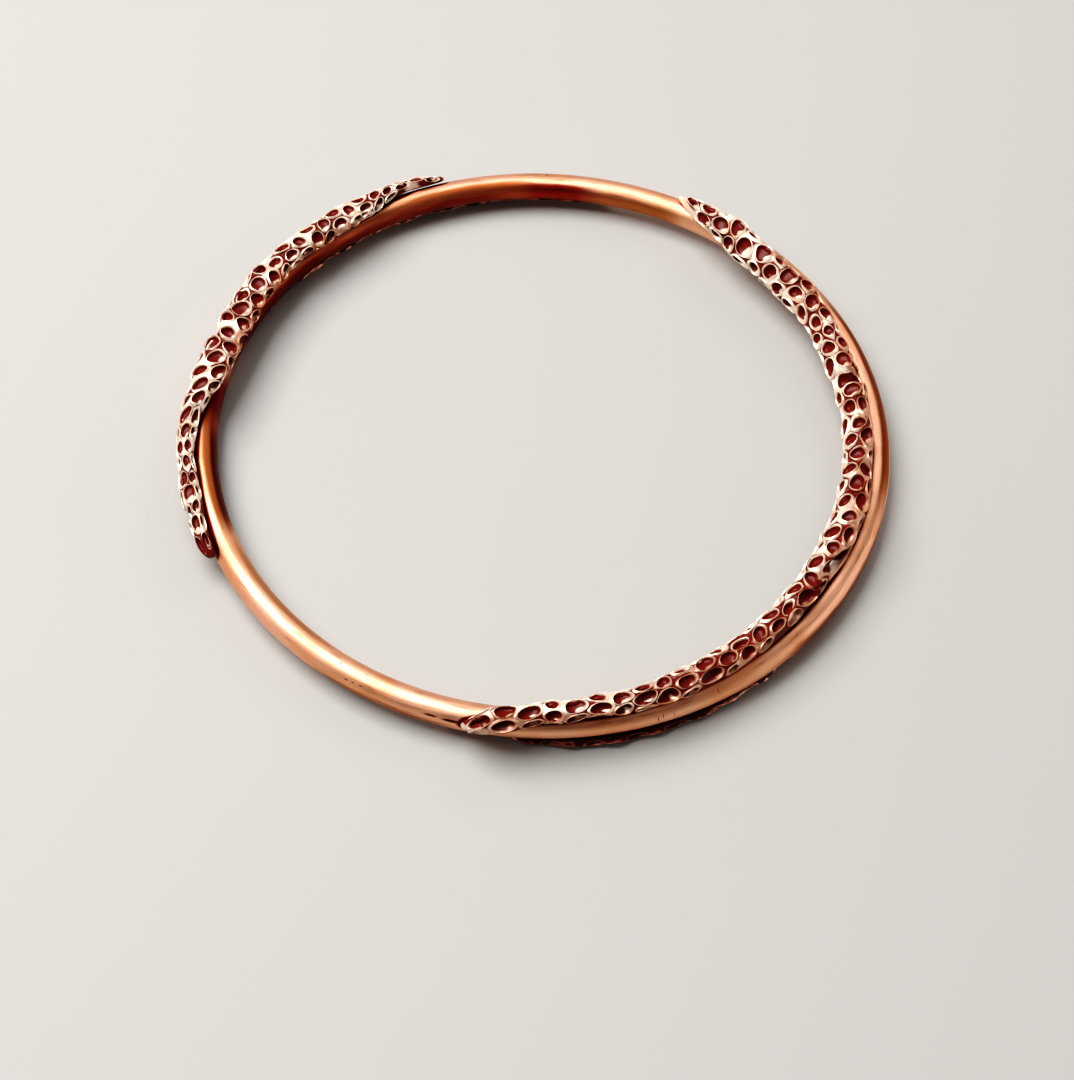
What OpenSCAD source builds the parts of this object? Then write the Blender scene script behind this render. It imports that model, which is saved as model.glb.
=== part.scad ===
// Copper bangle: a smooth round bar bent into a closed ring, with strips of cast coral-like cups along it.
// The ring lies flat. Its centre is the origin, +Z is up, and angle 0 points along +X.

/* [Hoop] */
// Inner diameter of the ring
inner_d = 68; // [66:1:70]
// Diameter of the round bar
bar_d = 2.9; // [2.7:0.1:3.1]

/* [Crust] */
// Gap between the bar and each strip
seat_gap = 0.08; // [0.06:0.01:0.12]
// Length along the bar that one column of cups takes on the right strip
right_column_length = 2.3; // [2.1:0.05:2.4]
// Length of a column on the left strip
left_column_length = 1.9; // [1.7:0.05:2.1]
// Length of a column on the two strips under the bar
under_column_length = 2.1; // [1.9:0.05:2.3]

/* [Cups] */
// Depth of the webs between cups, as a share of the strip's half height
web_share = 0.3; // [0.2:0.02:0.34]
// Depth of a cup, as a share of the half height
cup_share = 0.6; // [0.45:0.05:0.65]
// Size of the raised rim, as a share of its cell
rim_size = 0.85; // [0.78:0.01:0.88]
// Size of the cup's floor, as a share of its cell
floor_size = 0.5; // [0.42:0.02:0.54]
// How far the cells wander from an even pattern
wander = 0.14; // [0:0.02:0.16]
// Share of the cells that stay plain webs with no cup
plain_share = 0.1; // [0:0.02:0.2]

/* [Hidden] */

bar_r = bar_d / 2;
ring_r = inner_d / 2 + bar_r;
copper = [0.76, 0.45, 0.32];

// Each strip's table has a row for each place where its course changes.
// Columns: angle round the ring, side of the bar it sits on, half width, half height.
// The side is 0 on the outer side of the ring, 90 on top, 180 on the inner side and 270 below.
RIGHT_ROWS = [
    [259.3, 18, 0.35, 0.30],
    [261, 33, 0.74, 0.62],
    [262.5, 48, 1.18, 1.00],
    [264, 57, 1.52, 1.30],
    [267, 65, 1.48, 1.33],
    [270, 78, 1.33, 1.24],
    [275, 83, 1.40, 1.20],
    [280, 89, 1.38, 1.16],
    [285, 92, 1.42, 1.16],
    [290, 96, 1.52, 1.18],
    [295, 101, 1.62, 1.20],
    [300, 108, 1.67, 1.20],
    [305, 112, 1.66, 1.24],
    [310, 118, 1.69, 1.28],
    [315, 120, 1.70, 1.34],
    [320, 124, 1.82, 1.46],
    [325, 128, 1.80, 1.50],
    [330, 126, 1.97, 1.52],
    [335, 128, 2.03, 1.54],
    [340, 128, 2.03, 1.54],
    [345, 128, 2.10, 1.54],
    [350, 134, 2.12, 1.54],
    [355, 137, 2.00, 1.52],
    [360, 137, 2.03, 1.50],
    [365, 137, 1.98, 1.47],
    [370, 137, 2.00, 1.47],
    [375, 137, 2.03, 1.52],
    [380, 141, 1.84, 1.42],
    [385, 137, 1.85, 1.41],
    [390, 134, 1.98, 1.44],
    [395, 135, 2.02, 1.47],
    [400, 136, 2.03, 1.47],
    [405, 135, 2.04, 1.47],
    [410, 127, 2.04, 1.49],
    [415, 121, 1.88, 1.40],
    [419, 113, 1.56, 1.17],
    [422, 101, 1.12, 0.84],
    [424.5, 84, 0.62, 0.50],
    [426.5, 70, 0.35, 0.30]];
LEFT_ROWS = [
    [109, 50, 0.35, 0.30],
    [113, 48, 0.75, 0.64],
    [118, 50, 0.90, 0.76],
    [122, 75, 1.15, 0.92],
    [126, 91, 1.45, 1.10],
    [131, 96, 1.72, 1.25],
    [146, 93, 1.78, 1.28],
    [152, 95, 1.88, 1.25],
    [157, 99, 2.05, 1.20],
    [165, 99, 2.00, 1.20],
    [171, 97, 2.05, 1.25],
    [176, 86, 1.83, 1.20],
    [180, 72, 1.55, 1.14],
    [185, 54, 1.28, 1.06],
    [190, 47, 1.22, 1.00],
    [197, 44, 1.30, 0.97],
    [203, 38, 1.15, 0.92],
    [207, 28, 0.90, 0.78],
    [210, 20, 0.40, 0.35]];
UNDER_LEFT_ROWS = [
    [78, 300, 0.40, 0.30],
    [82, 300, 1.00, 0.45],
    [88, 300, 1.20, 0.52],
    [104, 298, 1.20, 0.52],
    [116, 291, 1.20, 0.55],
    [142, 288, 1.20, 0.55],
    [156, 285, 1.20, 0.55],
    [175, 284, 1.20, 0.55],
    [190, 272, 1.20, 0.55],
    [210, 265, 1.10, 0.52],
    [216, 262, 0.40, 0.30]];
UNDER_RIGHT_ROWS = [
    [257, 246, 0.40, 0.30],
    [260, 246, 1.10, 0.50],
    [264, 252, 1.30, 0.55],
    [277, 286, 1.30, 0.55],
    [290, 286, 1.30, 0.55],
    [298, 280, 1.30, 0.55],
    [306, 267, 1.30, 0.55],
    [330, 260, 1.30, 0.55],
    [342, 264, 1.10, 0.50],
    [346, 265, 0.40, 0.30]];

// Cells round a strip's section, and the ring angle over which its table is eased
crest_cells = 5;
under_cells = 4;
ease_angle = 1.5;
// Cells within this turn of the seat face the bar and stay flat
seat_turn = 61;
// Unevenness of the cups: shares of the half height for depths, of the cell for sizes and slides
web_vary = 0.4;
rim_drop = 0.04;
rim_vary = 0.04;
floor_vary = 0.06;
floor_slide = 0.08;
depth_vary = 0.2;
// Facets of the hoop round the ring and round the bar
ring_facets = 240;
bar_facets = 48;
// Offsets of a cell's six corners: row of corners, then half steps round the section
CORNERS = [[0, 0], [0, 1], [-1, 1], [-1, 0], [-1, -1], [0, -1]];
// Repeatable unevenness
noise = rands(-1, 1, 1009, 15);

function shake(a, b, kind) = noise[(a * 37 + b * 101 + kind * 211 + 500) % len(noise)];
function eased(keys, angle) =
    (lookup(angle - ease_angle, keys) + 2 * lookup(angle, keys) + lookup(angle + ease_angle, keys)) / 4;
function keys_of(rows, column) = [for (row = rows) [row[0], row[column]]];

// A strip is its side, half width and half height keys, first angle, angle step, columns and cells
function strip_of(rows, length, cells) =
    let (first = rows[0][0],
         span = rows[len(rows) - 1][0] - first,
         columns = round(span / 360 * 2 * PI * ring_r / length))
    [keys_of(rows, 1), keys_of(rows, 2), keys_of(rows, 3), first, span / (columns + 1), columns, cells];
function columns_of(strip) = strip[5];
function cells_of(strip) = strip[6];
function angle_at(strip, along) = strip[3] + (along + 1) * strip[4];

// A point of the strip's skin, sunk below it by a share of the half height. A turn of 180 faces the bar.
function skin(strip, along, turn, sunk) =
    let (angle = angle_at(strip, along),
         side = eased(strip[0], angle),
         half_w = eased(strip[1], angle),
         half_h = eased(strip[2], angle),
         away = bar_r + seat_gap + half_h + (1 - sunk) * half_h * cos(turn),
         across = (half_w - sunk * half_h) * sin(turn),
         out = away * cos(side) - across * sin(side),
         up = away * sin(side) + across * cos(side))
    [(ring_r + out) * cos(angle), (ring_r + out) * sin(angle), up];
function tip(strip, along) = skin(strip, along, 0, 1);

// Corners stand in rows between the columns of cells, a half step apart. A place is [along, turn].
function half_step(strip) = 180 / cells_of(strip);
function wrapped(strip, q) = (q + 2 * cells_of(strip)) % (2 * cells_of(strip));
function faces_bar(turn) = abs(turn - 180) < seat_turn;
function corner_place(strip, i, q) =
    let (w = wrapped(strip, q), even = (i + q) % 2 == 0)
    [i + (even ? 2 : 1) / 3 + wander * shake(i, w, 1), (q + wander * shake(i, w, 2)) * half_step(strip)];
function corner_sunk(strip, i, q) =
    let (w = wrapped(strip, q))
    faces_bar(w * half_step(strip)) ? 0 : web_share * (1 + web_vary * shake(i, w, 3));
function centre_place(strip, i, q) = [i, q * half_step(strip)];

// A cell is [column, half steps round the section]
function all_cells(strip) =
    [for (i = [0:columns_of(strip) - 1]) for (j = [0:cells_of(strip) - 1]) [i, 2 * j + i % 2]];
function is_cup(strip, cell) =
    !faces_bar(cell[1] * half_step(strip)) && shake(cell[0], cell[1], 4) < 1 - 2 * plain_share;

// Six points of a ring inside a cell, of the given size, slid by a share of the cell
function inner_ring(strip, cell, size, slide, sunk) =
    let (middle = centre_place(strip, cell[0], cell[1]))
    [for (k = CORNERS)
        let (edge = corner_place(strip, cell[0] + k[0], cell[1] + k[1]) - middle,
             place = middle + size * edge + [slide[0], slide[1] * half_step(strip)])
        skin(strip, place[0], place[1], sunk)];
function cup_points(strip, cell) =
    let (a = shake(cell[0], cell[1], 5),
         b = shake(cell[0], cell[1], 6),
         c = shake(cell[0], cell[1], 7),
         depth = cup_share * (1 + depth_vary * b))
    concat(
        inner_ring(strip, cell, rim_size + rim_vary * c, [0, 0], rim_drop * (1 + a)),
        inner_ring(strip, cell, floor_size + floor_vary * b, floor_slide * [a, c], depth));

// Faces run clockwise seen from outside
function band(outer, inner) =
    [for (k = [0:5]) let (n = (k + 1) % 6) each [
        [inner[n], outer[n], outer[k]],
        [inner[k], inner[n], outer[k]]]];
function patch(ring) = [for (k = [1:4]) [ring[k + 1], ring[k], ring[0]]];

module crust(strip) {
    cells = all_cells(strip);
    cups = [for (cell = cells) if (is_cup(strip, cell)) cell];
    flats = [for (cell = cells) if (!is_cup(strip, cell)) cell];
    around = 2 * cells_of(strip);
    columns = columns_of(strip);
    corners = [for (i = [-1:columns - 1]) for (q = [0:around - 1])
        let (place = corner_place(strip, i, q))
        skin(strip, place[0], place[1], corner_sunk(strip, i, q))];
    tips = [tip(strip, -1), tip(strip, columns)];
    points = concat(tips, corners, [for (cell = cups) each cup_points(strip, cell)]);
    function corner_at(i, q) = len(tips) + (i + 1) * around + wrapped(strip, q);
    function outline(cell) = [for (k = CORNERS) corner_at(cell[0] + k[0], cell[1] + k[1])];
    function ring_at(c, which) = [for (k = [0:5]) len(tips) + len(corners) + 12 * c + 6 * which + k];
    cup_faces = [for (c = [0:len(cups) - 1]) each concat(
        band(outline(cups[c]), ring_at(c, 0)),
        band(ring_at(c, 0), ring_at(c, 1)),
        patch(ring_at(c, 1)))];
    flat_faces = [for (cell = flats) each patch(outline(cell))];
    end_faces = [for (q = [0:around - 1]) each [
        [0, corner_at(-1, q + 1), corner_at(-1, q)],
        [1, corner_at(columns - 1, q), corner_at(columns - 1, q + 1)]]];
    polyhedron(points, concat(cup_faces, flat_faces, end_faces), convexity = 10);
}

module hoop() {
    color(copper)
        rotate_extrude($fn = ring_facets)
            translate([ring_r, 0]) circle(r = bar_r, $fn = bar_facets);
}

module crust_right() {
    color(copper) crust(strip_of(RIGHT_ROWS, right_column_length, crest_cells));
}

module crust_left() {
    color(copper) crust(strip_of(LEFT_ROWS, left_column_length, crest_cells));
}

module crust_under_left() {
    color(copper) crust(strip_of(UNDER_LEFT_ROWS, under_column_length, under_cells));
}

module crust_under_right() {
    color(copper) crust(strip_of(UNDER_RIGHT_ROWS, under_column_length, under_cells));
}

hoop();
crust_right();
crust_left();
crust_under_left();
crust_under_right();
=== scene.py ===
"""Looks of the copper bangle: a satin bar ring with strips of cast cups, on a plain pale floor."""

import math

import bmesh
import bpy
from mathutils import Matrix, Vector, bvhtree, noise


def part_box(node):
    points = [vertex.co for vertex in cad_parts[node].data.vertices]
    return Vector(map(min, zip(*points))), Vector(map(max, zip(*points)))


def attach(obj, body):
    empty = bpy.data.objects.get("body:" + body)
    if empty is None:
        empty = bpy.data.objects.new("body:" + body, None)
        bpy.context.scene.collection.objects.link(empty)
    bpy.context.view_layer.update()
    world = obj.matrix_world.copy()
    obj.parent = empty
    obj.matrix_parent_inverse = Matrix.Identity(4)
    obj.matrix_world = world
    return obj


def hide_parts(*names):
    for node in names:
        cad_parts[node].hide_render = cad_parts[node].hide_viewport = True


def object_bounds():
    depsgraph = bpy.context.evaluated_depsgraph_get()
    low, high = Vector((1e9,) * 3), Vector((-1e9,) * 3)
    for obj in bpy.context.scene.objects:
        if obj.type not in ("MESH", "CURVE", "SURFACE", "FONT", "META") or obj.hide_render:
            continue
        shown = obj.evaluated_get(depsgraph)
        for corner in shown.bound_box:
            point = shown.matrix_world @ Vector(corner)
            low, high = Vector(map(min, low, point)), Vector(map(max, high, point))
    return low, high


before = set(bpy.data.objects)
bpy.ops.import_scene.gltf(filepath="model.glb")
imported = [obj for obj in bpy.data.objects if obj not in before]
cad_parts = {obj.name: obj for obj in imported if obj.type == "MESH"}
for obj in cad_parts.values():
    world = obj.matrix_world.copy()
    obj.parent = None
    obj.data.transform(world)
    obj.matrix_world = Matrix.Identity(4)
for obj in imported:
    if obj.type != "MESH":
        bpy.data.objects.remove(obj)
cad_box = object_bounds()

MM = 0.001
MERGE_DISTANCE = 0.001 * MM

# The photo's frame and the camera's place, from the ring's centre
PHOTO_LONG_SIDE = 1080
FOCAL_PX = 2177
SENSOR = 36
VIEW_ELEVATION = math.radians(55.5)
VIEW_ROLL = math.radians(2.5)
VIEW_DISTANCE = 230.4 * MM
CENTRE_RIGHT_PX = 3.8
CENTRE_UP_PX = 108.5
CLIP_FROM = 0.01
CLIP_TO = 20

# The hoop, measured on its solid, and how finely it is turned
hoop_low, hoop_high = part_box("hoop")
BAR_R = (hoop_high.z - hoop_low.z) / 2
RING_R = hoop_high.x - BAR_R
BAR_SIDES = 80
RING_STEPS = 720

# Brightness of the room, and how much more there is at four parts of it. Each part comes in over a range
# of the direction's X, Y or Z
ROOM_GLOW = 0.07
GLOWS = {
    "ceiling": (0.55, {"Z": (0.68, 0.97)}),
    "left": (0.8, {"X": (-0.45, -0.95), "Z": (0.65, 0.15)}),
    "right": (1.6, {"X": (0.78, 0.95), "Z": (0.75, 0.3)}),
    "back": (0.35, {"Y": (0.2, 0.9), "Z": (0.8, 0.2)}),
}
ROOM_COLOUR = (1, 0.985, 0.965, 1)
# The soft boxes: the way to each from the ring, its side and power
BOXES = {
    "high_box": (Vector((-0.43, 0.14, 0.89)), 0.42, 4.8),
    "back_box": (Vector((0.36, 0.64, 0.68)), 0.22, 0.32),
}
BOX_COLOUR = (1, 0.985, 0.96)
BOX_DISTANCE = 0.55
# The floor's half width and its paint
FLOOR_REACH = 3
FLOOR_COLOUR = (0.46, 0.45, 0.435, 1)
FLOOR_ROUGHNESS = 0.6
# How the darks are deepened: brightness before and after, on the curve for all three colours together
DARKS = [(0.05, 0.018), (0.12, 0.085), (0.25, 0.24)]
COMBINED_CURVE = 3

# How deep each strip's cups are, as a share of their size against the thick strips' cups
CRUSTS = {"crust_right": 1.0, "crust_left": 1.0, "crust_under_left": 0.55, "crust_under_right": 0.55}
# Levels of the rounding that finishes the strips
CRUST_LEVELS = 2
# A cup of the solid: its triangles, the corners of its mouth and floor together, and those of its mouth.
# Its rim is made of edges sharper than one of these angles, tried in turn
CUP_TRIANGLES = 16
CUP_CORNERS = 12
CUP_SIDES = 6
CREST_ANGLES = [math.radians(angle) for angle in (20, 30, 40, 50, 60)]
# A cup's mouth: its drop, how far it is drawn to a circle, and how much and how finely its size varies
FOOT_DROP = 0.05
MOUTH_ROUNDNESS = 0.15
MOUTH_VARY = 0.3
MOUTH_VARY_SCALE = 3000
# How much and how finely the depth varies from cup to cup
CUP_VARY = 0.35
CUP_VARY_SCALE = 2000
# The webs between cups: how far they rise to the rims, how much that varies, and the least it may be
WEB_LIFT = 0.15
WEB_LIFT_VARY = 1.3
WEB_SINK = -0.4
# How dark the webs get with painted shade and patina as they sink, and how dark they are where they crease
WEB_SHADE_AND_PATINA = 0.75
CREASE_FROM = 0.5
CREASE_SHARPNESS = 0.6
# Triangles of the webs that are joined in pairs: the most that they may bend, and the most out of square
WEB_JOIN_BEND = math.radians(50)
WEB_JOIN_SKEW = math.radians(60)
# Rings inside a cup: size as a share of the one before, drop as a share of the cup, how dark with patina
# and painted shade, slide
CUP_RINGS = [(0.93, 0.0, 0.1, 0), (0.94, 0.3, 0.7, 0.03), (0.74, 0.3, 1.0, 0.12)]
DIMPLE_RINGS = [(0.8, 0.0, 0.1, 0), (0.9, 0.2, 0.7, 0.03), (0.7, 0.2, 1.0, 0.1)]
# The way to the side of each cup painted pale, a painted highlight on the wall that faces the key lamp,
# and how much of the hollow's darkness goes there
LIT_WAY = Vector((0.55, -0.45, -0.7))
LIT_SHARE = 0.88
# Heights over the bar: plain cells get a dimple above the first, and the strips get painted shade below
# the second, where they meet the bar
BARE_HEIGHT = 0.9 * MM
CREVICE_SHADE_HEIGHT = 0.5 * MM
# Unevenness of the casting: a slow bend along the bar, and a finer wobble every way
NOISE_SEED = 15
CAST_WARP = 0.5 * MM
WARP_SCALE = 330
CAST_WOBBLE = 0.08 * MM
WOBBLE_SCALE = 700

# Painted shade, partly patina, on the bar along its seam with the strips: its width, and the nearness over
# which it darkens
SEAM_WIDTH = 0.65 * MM
SEAM_RANGE = (0.15, 0.45)
# Stretches of the bar painted darker, as painted shade and dark reflection on sides turned from the lamps
# and partly as tarnish: angle round the ring, half length, the side of the bar they face, how near to that
# side they begin and how softly, colour
BAR_SHADE_AND_TARNISH = [
    (75, 12, 180, 0.82, 0.12, (0.45, 0.16, 0.06)),
    (92, 12, 180, 0.56, 0.14, (0.30, 0.025, 0.01)),
    (107, 15, 180, 0.28, 0.14, (0.46, 0.13, 0.045)),
    (136, 36, 180, 0.50, 0.14, (0.50, 0.16, 0.07)),
    (118, 24, 180, 0.92, 0.10, (0.20, 0.018, 0.008)),
    (152, 22, 180, 0.74, 0.14, (0.13, 0.01, 0.004)),
    (181, 13, 180, 0.05, 0.14, (0.16, 0.012, 0.005)),
    (194, 15, 180, 0.02, 0.14, (0.38, 0.115, 0.045)),
    (194, 13, 180, 0.52, 0.14, (0.11, 0.014, 0.006)),
    (222, 15, 180, 0.32, 0.14, (0.60, 0.26, 0.13)),
    (247, 14, -35, 0.72, 0.14, (0.36, 0.13, 0.06)),
    (330, 20, 0, 0.93, 0.06, (0.28, 0.08, 0.03)),
    (9, 28, 48, 0.91, 0.05, (0.30, 0.075, 0.018)),
]
# Stretches of the strips painted dark as shade, on sides turned from the lamps, in the same way
CRUST_PAINTED_SHADE = [(160, 24, 180, 0.72), (166, 12, 180, 0.6)]
# Flanks of the strips painted browner as shade, where they are turned from the lamps: angle, half length,
# side of the bar, millimetres to that side
CRUST_SHADED_FLANKS = [
    (280, 24, -3, 0.6),
    (318, 36, 32, 0.45),
    (362, 26, 47, 0.75),
    (394, 14, 45, 1.1),
    (150, 32, 186, 0.9),
]
# A gap between the right strip's cups, painted dark as the shade in it: angle, side of the bar,
# millimetres from its centre line
SHADED_GAP = (324, 98, 3.3)
# How far that gap reaches, in millimetres
SHADED_GAP_R = 1.1
# Where the seam's painted shade is thinner, at the right strip's far end: angle round the ring and half
# length
THIN_SEAM = (65, 6)
# How much of its nearness the seam loses there
THIN_SEAM_LOSS = 0.35
# Painted shade on the end of the left strip, where it turns under the bar: angle round the ring and half
# length
SHADED_END = (208, 3.5)
# Small pits, scratches and stains: angle, side of the bar, half length along it and half width, both in
# millimetres
MARKS = [
    (223.8, 74.5, 0.12, 0.10),
    (238.8, 83.6, 0.12, 0.10),
    (243.5, 91.2, 0.08, 0.07),
    (240.8, 36.9, 0.28, 0.08),
    (242.0, 39.0, 0.22, 0.07),
    (243.4, 41.2, 0.30, 0.08),
    (90.9, 71.2, 0.24, 0.12),
    (255.1, 31.4, 0.90, 0.15),
    (258.3, 28.6, 1.30, 0.22),
    (290.0, 16.0, 0.07, 0.40),
    (290.8, 24.0, 0.06, 0.35),
    (292.6, 18.0, 0.05, 0.30),
    (300.2, 46.0, 0.06, 0.35),
]
# The share of a mark's size, and of a stretch's or the gap's reach, within which it is in full
MARK_CORE = 0.4
STRETCH_CORE = 0.5

# The bar's colours. The last is painted shade, partly patina, along the seam with the strips
BAR_ROSE = (0.92, 0.47, 0.31)
BAR_TAN = (0.82, 0.36, 0.20)
BAR_BROWN = (0.40, 0.11, 0.045)
BAR_WORN = (0.09, 0.012, 0.006)
BAR_SEAM_SHADE = (0.14, 0.006, 0.003)
# The noise in the bar's finish. Patches have a scale and a detail. Streaks have cycles round the ring,
# cycles per millimetre across and a detail. The ranges are where patches and brown streaks come in
BAR_PATCHES = (130, 3)
BAR_PATCH_RANGE = (0.4, 0.66)
BROAD_STREAKS = (9, 2.2, 4)
FINE_STREAKS = (16, 7, 3)
BROWN_RANGE = (0.55, 0.75)
# How strongly the brown streaks show, and how far the streaks shift the edges of the painted shade
# stretches
STREAK_SHARE = 0.7
STREAK_SHIFT = 2.1
# Roughness of the smoothest metal, how much rougher it gets, and the noise over which it does
BAR_ROUGHNESS = 0.44
BAR_ROUGHER = 0.12
ROUGHER_RANGE = (0.35, 0.7)
# Height and strength of the relief in the bar's streaks, and the share of the fine ones
BAR_RELIEF = 0.05 * MM
BAR_RELIEF_STRENGTH = 0.35
FINE_RELIEF = 0.5

# The strips' colours: crests, patches on them, painted shade on some flanks, and hollows, dark with patina
# and painted shade
CRUST_COLOURS = {
    "pale": (1.0, 0.84, 0.69),
    "rose": (0.95, 0.54, 0.35),
    "brown": (0.48, 0.15, 0.065),
    "dark": (0.13, 0.008, 0.003),
}
# The same colours darkened for the strips under the bar: painted shade, for their place beneath it
SHADED_UNDER_COLOURS = {
    "pale": (0.90, 0.42, 0.31),
    "rose": (0.40, 0.08, 0.05),
    "brown": (0.22, 0.04, 0.02),
    "dark": (0.06, 0.005, 0.003),
}
# The noise in the strips' finish: scale and detail
STAINS = (750, 1)
GRAIN = (900, 3)
CRUST_PATCHES = (420, 2)
CRUST_PATCH_RANGE = (0.5, 0.68)
# How unevenly the dark of the hollows, patina and painted shade, is spread, and how far the grain shifts
# the edges of the stretches
STAIN_VARY = 0.8
GRAIN_SHIFT = 0.3
# How soft the edges of the painted shade on the strips' stretches and flanks are
CRUST_SHADE_EDGE = 0.15
FLANK_EDGE = 0.35
# How strongly the painted shade of the stretches and of the left strip's end, the patches and the painted
# shade of the flanks show
CRUST_SHADE_SHARE = 0.5
END_SHADE_SHARE = 0.45
PATCH_SHARE = 0.45
FLANK_SHADE_SHARE = 0.75
# Where the strips turn dark with patina and painted shade and lose their metal, from a crest's nought to a
# hollow's one
DARK_RANGE = (0.3, 0.55)
METAL_RANGE = (0.6, 0.35)
# How metallic the crests are. The rest is pale non-metal, a painted cream sheen that shows from every side
CREST_METALLIC = 0.5
# The strips' roughness and relief, in the same way as the bar's
CRUST_ROUGHNESS = 0.27
CRUST_ROUGHER = 0.1
CRUST_RELIEF = 0.04 * MM
CRUST_RELIEF_STRENGTH = 0.25
# How much the strips' non-metal share and the floor's paint shine
NON_METAL_SPECULAR = 0.2

# The smooth rope along the right strip's far end: angle, side of the bar, millimetres from the bar's
# centre line, thickness as a share
ROPE_R = 0.3 * MM
ROPE = [
    (404, 172, 2.6, 0.6),
    (407, 170, 2.5, 0.9),
    (410, 165, 2.35, 1.0),
    (413, 158, 2.15, 1.0),
    (416, 146, 1.95, 1.1),
    (418, 140, 1.85, 1.2),
    (420, 132, 1.8, 1.25),
    (422, 116, 1.75, 1.25),
    (424, 98, 1.75, 1.2),
    (426, 64, 1.75, 1.0),
]
# How smoothly the rope bends, how finely it is drawn and how round it is
ROPE_ORDER = 4
ROPE_STEPS = 8
ROPE_ROUNDNESS = 5

# Places of the colour sockets on a Mix node
MIX_LOW, MIX_HIGH, MIX_RESULT = 6, 7, 2


class Value:
    """A number socket. Arithmetic on it adds Math nodes."""

    def __init__(self, nodes, socket):
        self.nodes = nodes
        self.socket = socket

    def math(self, operation, *others):
        inputs = dict(enumerate((self,) + others))
        return self.nodes.node("ShaderNodeMath", {"operation": operation}, inputs).out()

    def __add__(self, other):
        return self.math("ADD", other)

    def __sub__(self, other):
        return self.math("SUBTRACT", other)

    def __mul__(self, other):
        return self.math("MULTIPLY", other)

    def __truediv__(self, other):
        return self.math("DIVIDE", other)

    def __pow__(self, other):
        return self.math("POWER", other)

    def __rsub__(self, other):
        return self.nodes.constant(other).math("SUBTRACT", self)

    def __rtruediv__(self, other):
        return self.nodes.constant(other).math("DIVIDE", self)

    def __rpow__(self, other):
        return self.nodes.constant(other).math("POWER", self)

    __radd__ = __add__
    __rmul__ = __mul__


class Node:
    """A node just made, whose outputs are asked for by name or place."""

    def __init__(self, nodes, node):
        self.nodes = nodes
        self.node = node

    def out(self, key=0):
        return Value(self.nodes, self.node.outputs[key])


class Nodes:
    """A tree of nodes, to which each method adds what it is named for."""

    def __init__(self, tree):
        self.tree = tree

    def node(self, kind, settings=None, inputs=None):
        node = self.tree.nodes.new(kind)
        for key, value in (settings or {}).items():
            setattr(node, key, value)
        for key, value in (inputs or {}).items():
            self.feed(node.inputs[key], value)
        return Node(self, node)

    def feed(self, socket, value):
        if isinstance(value, Value):
            self.tree.links.new(value.socket, socket)
        else:
            socket.default_value = value

    def constant(self, number):
        return self.node("ShaderNodeMath", {"operation": "ADD"}, {0: number, 1: 0}).out()

    def blend(self, factor, low, high):
        """From one colour to another. A colour is three numbers or a value."""
        inputs = {0: factor}
        for place, colour in ((MIX_LOW, low), (MIX_HIGH, high)):
            inputs[place] = (*colour, 1) if isinstance(colour, tuple) else colour
        settings = {"data_type": "RGBA", "clamp_factor": True}
        return self.node("ShaderNodeMix", settings, inputs).out(MIX_RESULT)

    def between(self, value, low, high):
        """Nought at the low end, one at the high end and eased between them."""
        inputs = {"Value": value, "From Min": low, "From Max": high}
        return self.node("ShaderNodeMapRange", {"interpolation_type": "SMOOTHSTEP"}, inputs).out()

    def noise(self, vector, scale, detail):
        inputs = {"Vector": vector, "Scale": scale, "Detail": detail}
        return self.node("ShaderNodeTexNoise", {}, inputs).out("Fac")

    def bump(self, height, distance, strength):
        inputs = {"Height": height, "Distance": distance, "Strength": strength}
        return self.node("ShaderNodeBump", {}, inputs).out()


class Finish(Nodes):
    """One procedural material."""

    def __init__(self, name):
        self.material = bpy.data.materials.new(name)
        self.material.use_nodes = True
        super().__init__(self.material.node_tree)
        self.shader = self.tree.nodes["Principled BSDF"]

    def set(self, **inputs):
        for key, value in inputs.items():
            self.feed(self.shader.inputs[key.replace("_", " ")], value)


def on_bar(angle, side, away):
    """A place by its angle round the ring, its side of the bar and its distance from the centre line."""
    angle, side = math.radians(angle), math.radians(side)
    out = RING_R + away * math.cos(side)
    return Vector((out * math.cos(angle), out * math.sin(angle), away * math.sin(side)))


def place_of(finish):
    return finish.node("ShaderNodeTexCoord").out("Object")


def ring_places(finish):
    """Unit direction round the ring, and millimetres up and out from the bar's centre line."""
    split = finish.node("ShaderNodeSeparateXYZ", {}, {0: place_of(finish)})
    x, y, z = split.out("X"), split.out("Y"), split.out("Z")
    radius = (x * x + y * y) ** 0.5
    return (x / radius, y / radius), z / MM, (radius - RING_R) / MM


def streaks(finish, along, across, detail):
    """Noise drawn out along the bar: along cycles round the ring, across cycles per millimetre."""
    (ring_x, ring_y), up, out = ring_places(finish)
    inputs = {0: ring_x * along, 1: ring_y * along, 2: up * across}
    vector = finish.node("ShaderNodeCombineXYZ", {}, inputs).out()
    inputs = {"Vector": vector, "W": out * across, "Scale": 1, "Detail": detail}
    return finish.node("ShaderNodeTexNoise", {"noise_dimensions": "4D"}, inputs).out("Fac")


def marks(finish, place):
    """How strongly the small marks show at a place on the bar."""
    total = finish.constant(0)
    for angle, side, length, width in MARKS:
        inputs = {"Vector": place, "Location": on_bar(angle, side, BAR_R)}
        inputs["Rotation"] = (0, 0, math.radians(angle + 90))
        inputs["Scale"] = (length * MM, width * MM, width * MM)
        near = finish.node("ShaderNodeMapping", {"vector_type": "TEXTURE"}, inputs).out()
        away = finish.node("ShaderNodeVectorMath", {"operation": "LENGTH"}, {0: near}).out("Value")
        total = total.math("MAXIMUM", finish.between(away, 1, MARK_CORE))
    return total


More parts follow.
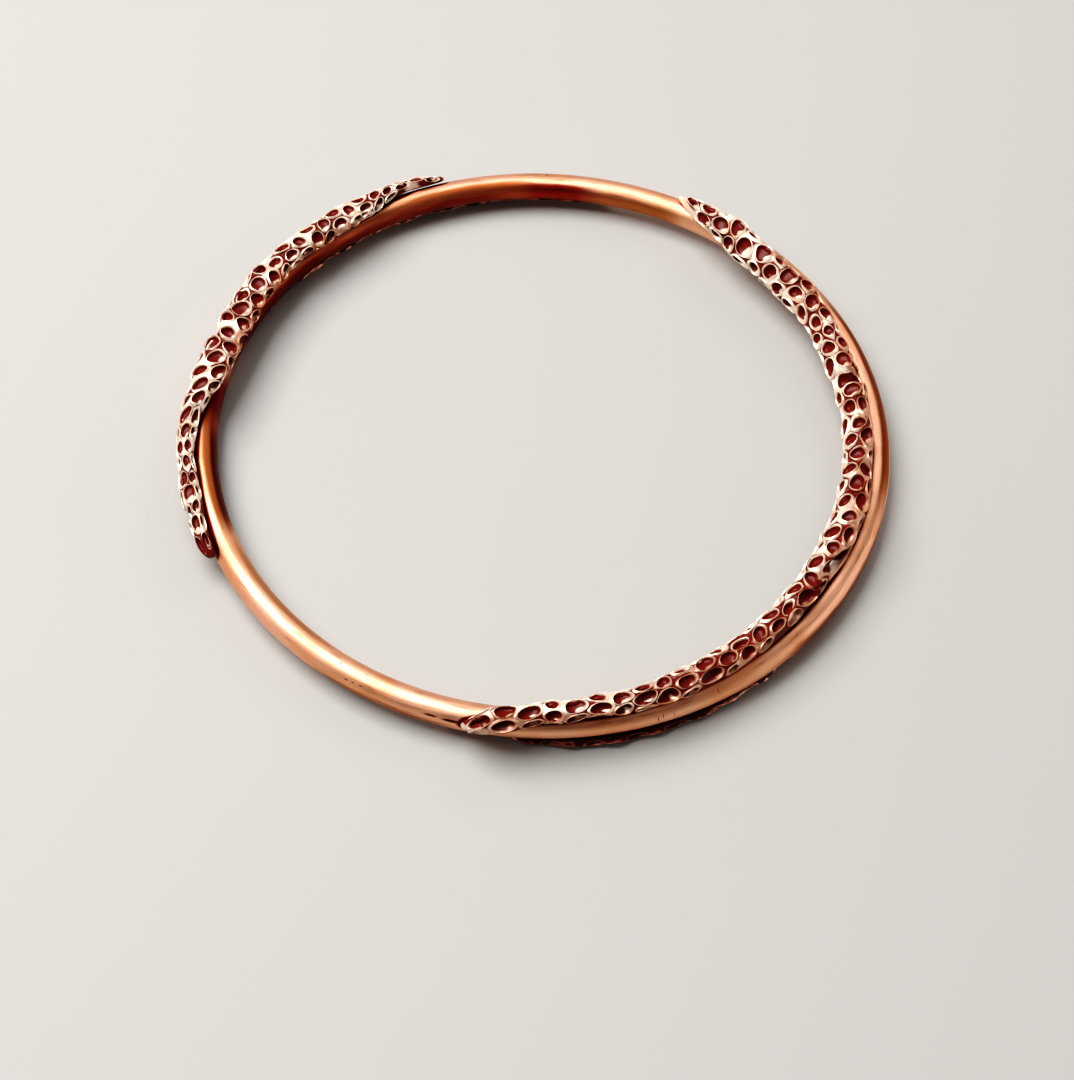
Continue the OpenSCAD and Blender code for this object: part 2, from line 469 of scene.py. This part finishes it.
def near_angle(finish, ring_way, angle, reach):
    """One in the middle of a stretch of the ring, down to nothing at its ends."""
    ring_x, ring_y = ring_way
    near = ring_x * math.cos(math.radians(angle)) + ring_y * math.sin(math.radians(angle))
    core = math.cos(math.radians(reach * STRETCH_CORE))
    return finish.between(near, math.cos(math.radians(reach)), core)


def towards(side, up, out):
    """How far a place lies towards a side of the bar."""
    return out * math.cos(math.radians(side)) + up * math.sin(math.radians(side))


def attribute(finish, name):
    return finish.node("ShaderNodeAttribute", {"attribute_name": name}).out("Fac")


def shaded_and_tarnished(finish, colour, lines):
    """The bar's colour with its stretches of painted shade and tarnish, whose edges follow the streaks."""
    ring_way, up, out = ring_places(finish)
    uneven = (lines - 0.5) * STREAK_SHIFT
    for angle, reach, side, start, soft, shade in BAR_SHADE_AND_TARNISH:
        facing = towards(side, up, out) / (BAR_R / MM) + uneven * soft
        facing = finish.between(facing, start - soft, start + soft)
        dark = near_angle(finish, ring_way, angle, reach) * facing
        colour = finish.blend(dark, colour, shade)
    return colour


def seam_shade(finish):
    """How dark the bar is painted beside the strips, as shade and partly patina."""
    ring_way, up, out = ring_places(finish)
    seam = attribute(finish, "seam") - near_angle(finish, ring_way, *THIN_SEAM) * THIN_SEAM_LOSS
    return finish.between(seam, *SEAM_RANGE)


def bar_copper():
    """Satin copper: rose and tan patches, brown streaks, stretches of painted shade and tarnish, small
    marks and painted shade along the seam.
    """
    finish = Finish("bar_copper")
    place = place_of(finish)
    patches = finish.between(finish.noise(place, *BAR_PATCHES), *BAR_PATCH_RANGE)
    lines = streaks(finish, *BROAD_STREAKS)
    fine = streaks(finish, *FINE_STREAKS)
    worn = marks(finish, place)
    colour = finish.blend(patches, BAR_ROSE, BAR_TAN)
    colour = finish.blend(finish.between(lines, *BROWN_RANGE) * STREAK_SHARE, colour, BAR_BROWN)
    colour = shaded_and_tarnished(finish, colour, lines)
    colour = finish.blend(worn, colour, BAR_WORN)
    colour = finish.blend(seam_shade(finish), colour, BAR_SEAM_SHADE)
    relief = fine * FINE_RELIEF + lines - worn
    finish.set(
        Base_Color=colour,
        Metallic=1.0,
        Roughness=BAR_ROUGHNESS + finish.between(fine, *ROUGHER_RANGE) * BAR_ROUGHER,
        Normal=finish.bump(relief, BAR_RELIEF, BAR_RELIEF_STRENGTH),
    )
    return finish.material


def shaded_gap(finish, place):
    """How strongly the painted shade in the gap between the right strip's cups shows."""
    angle, side, away = SHADED_GAP
    inputs = {0: place, 1: on_bar(angle, side, away * MM)}
    gap = finish.node("ShaderNodeVectorMath", {"operation": "DISTANCE"}, inputs).out("Value") / MM
    return finish.between(gap, SHADED_GAP_R, STRETCH_CORE * SHADED_GAP_R)


def darkness(finish, place, uneven):
    """How dark the strips are: patina and painted shade in the hollows, stains, and painted shade on
    stretches, at the left strip's end and in the gap.
    """
    ring_way, up, out = ring_places(finish)
    height = (up * up + out * out) ** 0.5
    dark = attribute(finish, "hollow") + (finish.noise(place, *STAINS) - 0.5) * STAIN_VARY
    for angle, reach, side, start in CRUST_PAINTED_SHADE:
        facing = towards(side, up, out) / height + uneven
        facing = finish.between(facing, start, start + CRUST_SHADE_EDGE)
        dark = dark + near_angle(finish, ring_way, angle, reach) * facing * CRUST_SHADE_SHARE
    return dark + near_angle(finish, ring_way, *SHADED_END) * END_SHADE_SHARE + shaded_gap(finish, place)


def with_shaded_flanks(finish, colour, brown, uneven):
    """The strips' colour with painted shade, browner, on some flanks."""
    ring_way, up, out = ring_places(finish)
    for angle, reach, side, start in CRUST_SHADED_FLANKS:
        flank = finish.between(towards(side, up, out) + uneven, start, start + FLANK_EDGE)
        flank = near_angle(finish, ring_way, angle, reach) * flank
        colour = finish.blend(flank * FLANK_SHADE_SHARE, colour, brown)
    return colour


def crust_copper(name, pale, rose, brown, dark):
    """Cast copper: pale crests with patches of rose, painted shade on some flanks, and hollows dark with
    patina and painted shade.
    """
    finish = Finish(name)
    place = place_of(finish)
    grain = finish.noise(place, *GRAIN)
    uneven = (grain - 0.5) * GRAIN_SHIFT
    hollow = darkness(finish, place, uneven)
    patches = finish.between(finish.noise(place, *CRUST_PATCHES), *CRUST_PATCH_RANGE)
    colour = finish.blend(patches * PATCH_SHARE, pale, rose)
    colour = with_shaded_flanks(finish, colour, brown, uneven)
    colour = finish.blend(finish.between(hollow, *DARK_RANGE), colour, dark)
    finish.set(
        Base_Color=colour,
        Metallic=finish.between(hollow, *METAL_RANGE) * CREST_METALLIC,
        Roughness=CRUST_ROUGHNESS + finish.between(grain, *ROUGHER_RANGE) * CRUST_ROUGHER,
        Specular_IOR_Level=NON_METAL_SPECULAR,
        Normal=finish.bump(grain, CRUST_RELIEF, CRUST_RELIEF_STRENGTH),
    )
    return finish.material


def placed(name, data):
    """A new object in the scene."""
    thing = bpy.data.objects.new(name, data)
    bpy.context.scene.collection.objects.link(thing)
    return thing


def mesh_of(bm, name, material):
    mesh = bpy.data.meshes.new(name)
    bm.to_mesh(mesh)
    bm.free()
    mesh.materials.append(material)
    return mesh


def shown(bm, name, material):
    """A finished piece from a bmesh, smooth, riding with the ring."""
    mesh = mesh_of(bm, name, material)
    mesh.polygons.foreach_set("use_smooth", [True] * len(mesh.polygons))
    piece = placed(name, mesh)
    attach(piece, "root")
    return piece


def surface_of(mesh):
    """A mesh's surface, to measure distances from."""
    return bvhtree.BVHTree.FromPolygons([v.co for v in mesh.vertices], [p.vertices for p in mesh.polygons])


def mark_seam(bm):
    """Marks how near each place on the bar is to a strip."""
    seam = bm.verts.layers.float.new("seam")
    crusts = [surface_of(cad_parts[crust].data) for crust in CRUSTS]
    for v in bm.verts:
        away = [crust.find_nearest(v.co, SEAM_WIDTH)[3] for crust in crusts]
        v[seam] = max((1 - d / SEAM_WIDTH for d in away if d is not None), default=0)


def bar_ring(material):
    """The round bar, turned as a full ring."""
    bm = bmesh.new()
    at_side = Matrix.Translation((RING_R, 0, 0)) @ Matrix.Rotation(math.pi / 2, 4, "X")
    profile = bmesh.ops.create_circle(bm, segments=BAR_SIDES, radius=BAR_R, matrix=at_side)
    bmesh.ops.spin(
        bm,
        geom=profile["verts"] + bm.edges[:],
        axis=(0, 0, 1),
        cent=(0, 0, 0),
        angle=2 * math.pi,
        steps=RING_STEPS,
        use_merge=True,
    )
    bmesh.ops.remove_doubles(bm, verts=bm.verts, dist=MERGE_DISTANCE)
    bmesh.ops.recalc_face_normals(bm, faces=bm.faces)
    mark_seam(bm)
    piece = shown(bm, "bar_ring", material)
    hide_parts("hoop")


def walled_patches(bm, crest_angle):
    """Groups of faces that are walled off by edges sharper than the given angle."""
    patches, seen = [], set()
    for first in bm.faces:
        if first in seen:
            continue
        seen.add(first)
        inside, waiting = [], [first]
        while waiting:
            face = waiting.pop()
            inside.append(face)
            for edge in face.edges:
                if edge.calc_face_angle_signed() > crest_angle:
                    continue
                for other in edge.link_faces:
                    if other not in seen:
                        seen.add(other)
                        waiting.append(other)
        patches.append(inside)
    return patches


def mouth_faces(bm):
    """The faces inside each cup's rim, cup by cup. A rim is the crest round a cup."""
    cups, taken = [], set()
    for crest_angle in CREST_ANGLES:
        for patch in walled_patches(bm, crest_angle):
            corners = {v for face in patch for v in face.verts}
            if len(patch) == CUP_TRIANGLES and len(corners) == CUP_CORNERS and taken.isdisjoint(patch):
                cups.append(patch)
                taken.update(patch)
    return cups


def lift_webs(bm, rims, hollow):
    """Raises some webs between the cups towards their rims, and sinks others to creases darkened with
    painted shade and patina.
    """
    crease = bm.edges.layers.float["crease_edge"]
    rises = []
    for v in bm.verts:
        beside = [e.other_vert(v) for e in v.link_edges if e.other_vert(v) in rims]
        if v in rims or not beside:
            continue
        rise = sum((r.co - v.co).dot(v.normal) for r in beside) / len(beside)
        share = max(WEB_SINK, min(1, WEB_LIFT + WEB_LIFT_VARY * noise.noise(v.co * WOBBLE_SCALE)))
        rises.append((v, v.normal * max(0, rise) * share))
        v[hollow] = WEB_SHADE_AND_PATINA * (1 - share)
    webs = {v for v, move in rises if v[hollow] > CREASE_FROM}
    for v, move in rises:
        v.co += move
    for edge in bm.edges:
        if webs.issuperset(edge.verts):
            edge[crease] = CREASE_SHARPNESS


def lit_side(cup):
    """The way in a cup's own plane to its side with the painted highlight."""
    return (LIT_WAY - cup.normal * LIT_WAY.dot(cup.normal)).normalized()


def draw_in(cup, share, drop, roundness=0, lean=0):
    """Moves a cup's face towards its middle, down by a length, and away from its side with the painted
    highlight.
    """
    middle, down = cup.calc_center_median(), -cup.normal
    size = mouth_size(cup)
    away = lit_side(cup) * (-size * lean)
    for v in cup.verts:
        arm = v.co - middle
        even = arm * (size / arm.length)
        v.co = middle + arm.lerp(even, roundness) * share + down * drop + away


def mouth_size(cup):
    middle = cup.calc_center_median()
    return sum((v.co - middle).length for v in cup.verts) / len(cup.verts)


def varied(cup, share, scale):
    """One, more or less by up to a share, by the cup's place."""
    return 1 + share * noise.noise(cup.calc_center_median() * scale)


def sink_cups(bm, cups, rings, share_of_depth, hollow):
    """Gives every cup its rings. Drops go with the cup's size and vary from cup to cup."""
    depths = [share_of_depth * mouth_size(cup) * varied(cup, CUP_VARY, CUP_VARY_SCALE) for cup in cups]
    for share, drop, depth, lean in rings:
        cups = bmesh.ops.extrude_discrete_faces(bm, faces=cups)["faces"]
        for cup, full in zip(cups, depths):
            cup.normal_update()
            draw_in(cup, share, drop * full, lean=lean)
            middle, pale_side = cup.calc_center_median(), lit_side(cup)
            for v in cup.verts:
                # The wall towards the lit side keeps less of the dark: a painted highlight
                lit = max(0, (v.co - middle).normalized().dot(pale_side))
                v[hollow] = depth * (1 - LIT_SHARE * lit * lit)


def plain_cells(bm, rims):
    """The cells with no cup on the strip's outer side, each made one face."""
    flats = [face for face in bm.faces if rims.isdisjoint(face.verts)]
    flats = [face for face in flats if above_bar(face.calc_center_median()) > BARE_HEIGHT]
    merged = bmesh.ops.dissolve_faces(bm, faces=flats, use_verts=False)["region"]
    return [face for face in merged if CUP_SIDES <= len(face.verts) <= 2 * CUP_SIDES]


def slid(move, place):
    """A move with no part of it towards or away from the bar's centre line."""
    outwards = Vector((place.x, place.y, 0)).normalized()
    arm = (place - outwards * RING_R).normalized()
    return move - arm * move.dot(arm)


def keep_inside(bm, low, high):
    for v in bm.verts:
        v.co = [max(a, min(b, c)) for a, b, c in zip(low, high, v.co)]


def above_bar(place):
    """Height over the bar's surface."""
    return math.hypot(math.hypot(place.x, place.y) - RING_R, place.z) - BAR_R


def strip_copy(node):
    """A copy of a strip's solid, and the layer that says how hollow each corner is, and so how dark with
    patina and painted shade.
    """
    bm = bmesh.new()
    bm.from_mesh(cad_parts[node].data)
    hollow = bm.verts.layers.float.new("hollow")
    bm.edges.layers.float.new("crease_edge")
    bmesh.ops.remove_doubles(bm, verts=bm.verts, dist=MERGE_DISTANCE)
    bm.normal_update()
    return bm, hollow


def open_mouths(bm, hollow):
    """Makes each cup's mouth one face, of uneven size, between uneven webs. Gives the rims' corners."""
    mouths = mouth_faces(bm)
    cups = [bmesh.ops.dissolve_faces(bm, faces=mouth, use_verts=True)["region"][0] for mouth in mouths]
    rims = {v for cup in cups for v in cup.verts}
    lift_webs(bm, rims, hollow)
    for cup in cups:
        share = varied(cup, MOUTH_VARY, MOUTH_VARY_SCALE)
        draw_in(cup, share, FOOT_DROP * mouth_size(cup), MOUTH_ROUNDNESS)
    return rims


def warp(bm, hollow):
    """Bends the strip a little, without moving it off the bar, and paints shade on what is low beside the
    bar.
    """
    for v in bm.verts:
        v.co += slid(noise.noise_vector(v.co * WARP_SCALE) * CAST_WARP, v.co)
        v.co += noise.noise_vector(v.co * WOBBLE_SCALE) * CAST_WOBBLE
        v[hollow] = max(v[hollow], 1 - above_bar(v.co) / CREVICE_SHADE_HEIGHT)


def cast_crust(node, depth, material):
    """A copy of the node's solid, with its cups deepened and rounded as cast metal."""
    noise.seed_set(NOISE_SEED)
    bm, hollow = strip_copy(node)
    rims = open_mouths(bm, hollow)
    flats = plain_cells(bm, rims)
    cups = [face for face in bm.faces if len(face.verts) == CUP_SIDES and rims.issuperset(face.verts)]
    sink_cups(bm, cups, CUP_RINGS, depth, hollow)
    sink_cups(bm, flats, DIMPLE_RINGS, depth, hollow)
    warp(bm, hollow)
    keep_inside(bm, *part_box(node))
    webs = [face for face in bm.faces if len(face.verts) == 3]
    bmesh.ops.join_triangles(
        bm,
        faces=webs,
        angle_face_threshold=WEB_JOIN_BEND,
        angle_shape_threshold=WEB_JOIN_SKEW,
    )
    piece = shown(bm, "cast_" + node, material)
    rounding = piece.modifiers.new("rounding", "SUBSURF")
    rounding.levels = rounding.render_levels = CRUST_LEVELS
    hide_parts(node)


def end_rope(material):
    """The smooth rope that closes the right strip's far end."""
    curve = bpy.data.curves.new("end_rope", "CURVE")
    curve.dimensions = "3D"
    curve.bevel_depth = ROPE_R
    curve.bevel_resolution = ROPE_ROUNDNESS
    curve.use_fill_caps = True
    spline = curve.splines.new("NURBS")
    spline.points.add(len(ROPE) - 1)
    spline.order_u = ROPE_ORDER
    spline.use_endpoint_u = True
    spline.resolution_u = ROPE_STEPS
    for point, (angle, side, away, share) in zip(spline.points, ROPE):
        point.co = (*on_bar(angle, side, away * MM), 1)
        point.radius = share
    curve.materials.append(material)
    piece = placed("end_rope", curve)
    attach(piece, "root")


def floor_piece():
    """The plain pale floor that the ring rests on."""
    bm = bmesh.new()
    level = Matrix.Translation((0, 0, cad_box[0].z))
    bmesh.ops.create_grid(bm, x_segments=1, y_segments=1, size=FLOOR_REACH, matrix=level)
    finish = Finish("floor_paint")
    finish.set(Base_Color=FLOOR_COLOUR, Roughness=FLOOR_ROUGHNESS, Specular_IOR_Level=NON_METAL_SPECULAR)
    floor = placed("floor", mesh_of(bm, "floor", finish.material))


def soft_box(name, way, side, power):
    """A square lamp that shines on the ring from the way given."""
    way = way.normalized()
    data = bpy.data.lights.new(name, "AREA")
    data.shape = "SQUARE"
    data.size = side
    data.energy = power
    data.color = BOX_COLOUR
    light = placed(name, data)
    light.location = way * BOX_DISTANCE
    light.rotation_mode = "QUATERNION"
    light.rotation_quaternion = (-way).to_track_quat("-Z", "Y")


def studio():
    """A pale room with a bright ceiling and bright sides, and its soft boxes."""
    world = bpy.data.worlds.new("studio")
    world.use_nodes = True
    room = Nodes(world.node_tree)
    way = room.node("ShaderNodeSeparateXYZ", {}, {0: room.node("ShaderNodeTexCoord").out("Generated")})
    strength = ROOM_GLOW
    for glow, ranges in GLOWS.values():
        for axis, (low, high) in ranges.items():
            glow = glow * room.between(way.out(axis), low, high)
        strength = strength + glow
    background = world.node_tree.nodes["Background"]
    background.inputs["Color"].default_value = ROOM_COLOUR
    room.feed(background.inputs["Strength"], strength)
    bpy.context.scene.world = world
    grade(bpy.context.scene.view_settings)
    for name, box in BOXES.items():
        soft_box(name, *box)


def grade(settings):
    """Deepens the darks, as the photo does."""
    settings.view_transform = "Standard"
    settings.use_curve_mapping = True
    curve = settings.curve_mapping.curves[COMBINED_CURVE]
    for place in DARKS:
        curve.points.new(*place)
    settings.curve_mapping.update()


def camera():
    """Looks along the photo's line, with the ring's centre where the photo has it."""
    data = bpy.data.cameras.new("camera")
    data.sensor_width = SENSOR
    data.lens = FOCAL_PX / PHOTO_LONG_SIDE * SENSOR
    data.clip_start, data.clip_end = CLIP_FROM, CLIP_TO
    e, r = VIEW_ELEVATION, VIEW_ROLL
    back = Vector((0, -math.cos(e), math.sin(e)))
    level, upright = Vector((1, 0, 0)), Vector((0, math.sin(e), math.cos(e)))
    right = math.cos(r) * level + math.sin(r) * upright
    up = math.cos(r) * upright - math.sin(r) * level
    per_px = VIEW_DISTANCE / FOCAL_PX
    place = back * VIEW_DISTANCE - right * (CENTRE_RIGHT_PX * per_px) - up * (CENTRE_UP_PX * per_px)
    turn = Matrix((right, up, back)).transposed().to_4x4()
    view = placed("camera", data)
    view.matrix_world = Matrix.Translation(place) @ turn
    bpy.context.scene.camera = view


camera()
studio()
floor_piece()
bar_ring(bar_copper())
crust_finish = crust_copper("crust_copper", **CRUST_COLOURS)
# The strips under the bar take the darker copy: painted shade
shaded_under_finish = crust_copper("crust_copper_shaded", **SHADED_UNDER_COLOURS)
for crust, cup_depth in CRUSTS.items():
    cast_crust(crust, cup_depth, shaded_under_finish if "under" in crust else crust_finish)
end_rope(crust_finish)
